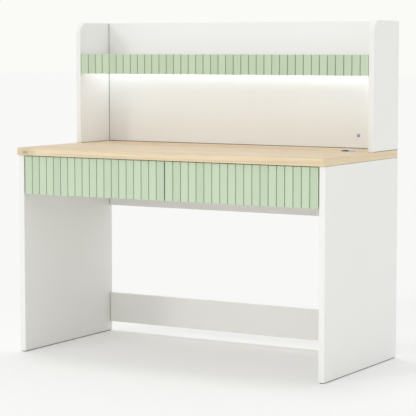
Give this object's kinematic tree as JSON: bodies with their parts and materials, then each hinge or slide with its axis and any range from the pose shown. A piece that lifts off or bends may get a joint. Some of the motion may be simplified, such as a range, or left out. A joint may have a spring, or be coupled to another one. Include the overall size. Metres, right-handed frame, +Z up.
{
  "type": "student desk with hutch",
  "caption": "White study desk with a pale maple top, grooved sage drawers on telescopic slides, and a rear hutch with shelf, light bar, touch switch and cable grommet.",
  "frame": {"origin": "on the floor below the middle of the desktop", "axes": "+X to the sitter's right, +Y to the rear, +Z up; the drawers open along -Y"},
  "size_m": [1.248, 0.588, 1.205],
  "materials": {
    "white_board": "satin white melamine",
    "maple_board": "satin pale maple effect",
    "sage_board": "matt sage green lacquer",
    "drawer_board": "plain white melamine",
    "drawer_tray": "plain hardboard",
    "zinc_steel": "zinc plated",
    "bearing_plastic": "natural acetal",
    "aluminium_profile": "satin anodised",
    "light_diffuser": "frosted, lit",
    "strip_board": "white board",
    "grey_plastic": "satin light grey",
    "black_plastic": "matt near black",
    "switch_metal": "satin",
    "switch_face": "smoky blue"
  },
  "bodies": {
    "carcass": {"desktop": "maple_board", "left_side_panel": "white_board", "right_side_panel": "white_board", "rear_apron": "white_board", "lower_stretcher": "white_board", "centre_divider": "white_board", "hutch_left_side": "white_board", "hutch_right_side": "white_board", "hutch_back_panel": "white_board", "hutch_shelf": "white_board", "hutch_fascia": "sage_board", "light_channel": "aluminium_profile", "light_diffuser": "light_diffuser", "light_strip_board": "strip_board", "light_end_caps": "grey_plastic", "switch_housing": "switch_metal", "switch_touch_face": "switch_face", "grommet_sleeve": "grey_plastic", "floor_glides": "black_plastic", "cam_bolts": "zinc_steel", "cam_locks": "zinc_steel", "desktop_brackets": "zinc_steel", "left_drawer_left_outer_rail": "zinc_steel", "left_drawer_right_outer_rail": "zinc_steel", "right_drawer_left_outer_rail": "zinc_steel", "right_drawer_right_outer_rail": "zinc_steel"},
    "left_drawer": {"left_drawer_front": "sage_board", "left_drawer_inner_front": "drawer_board", "left_drawer_left_side": "drawer_board", "left_drawer_right_side": "drawer_board", "left_drawer_back": "drawer_board", "left_drawer_bottom": "drawer_tray", "left_drawer_left_inner_rail": "zinc_steel", "left_drawer_right_inner_rail": "zinc_steel"},
    "right_drawer": {"right_drawer_front": "sage_board", "right_drawer_inner_front": "drawer_board", "right_drawer_left_side": "drawer_board", "right_drawer_right_side": "drawer_board", "right_drawer_back": "drawer_board", "right_drawer_bottom": "drawer_tray", "right_drawer_left_inner_rail": "zinc_steel", "right_drawer_right_inner_rail": "zinc_steel"},
    "left_middle_rails": {"left_drawer_left_middle_rail": "zinc_steel", "left_drawer_right_middle_rail": "zinc_steel", "left_drawer_bearing_strips": "bearing_plastic"},
    "right_middle_rails": {"right_drawer_left_middle_rail": "zinc_steel", "right_drawer_right_middle_rail": "zinc_steel", "right_drawer_bearing_strips": "bearing_plastic"},
    "grommet_cap": {"grommet_cap": "grey_plastic"}
  },
  "joints": [
    {"name": "left_drawer_slide", "type": "slide", "parent": "carcass", "child": "left_drawer", "axis": [0, -1, 0], "range_m": [0, 0.32]},
    {"name": "right_drawer_slide", "type": "slide", "parent": "carcass", "child": "right_drawer", "axis": [0, -1, 0], "range_m": [0, 0.32]},
    {"name": "left_rail_slide", "type": "slide", "parent": "carcass", "child": "left_middle_rails", "axis": [0, -1, 0], "range_m": [0, 0.16]},
    {"name": "right_rail_slide", "type": "slide", "parent": "carcass", "child": "right_middle_rails", "axis": [0, -1, 0], "range_m": [0, 0.16]},
    {"name": "grommet_cap_turn", "type": "hinge", "parent": "carcass", "child": "grommet_cap", "pos_m": [0.516, 0.108, 0.75], "axis": [0, 0, 1], "continuous": true}
  ],
  "couplings": [
    {"joint": "left_rail_slide", "follows": "left_drawer_slide", "ratio": 0.5},
    {"joint": "right_rail_slide", "follows": "right_drawer_slide", "ratio": 0.5}
  ]
}
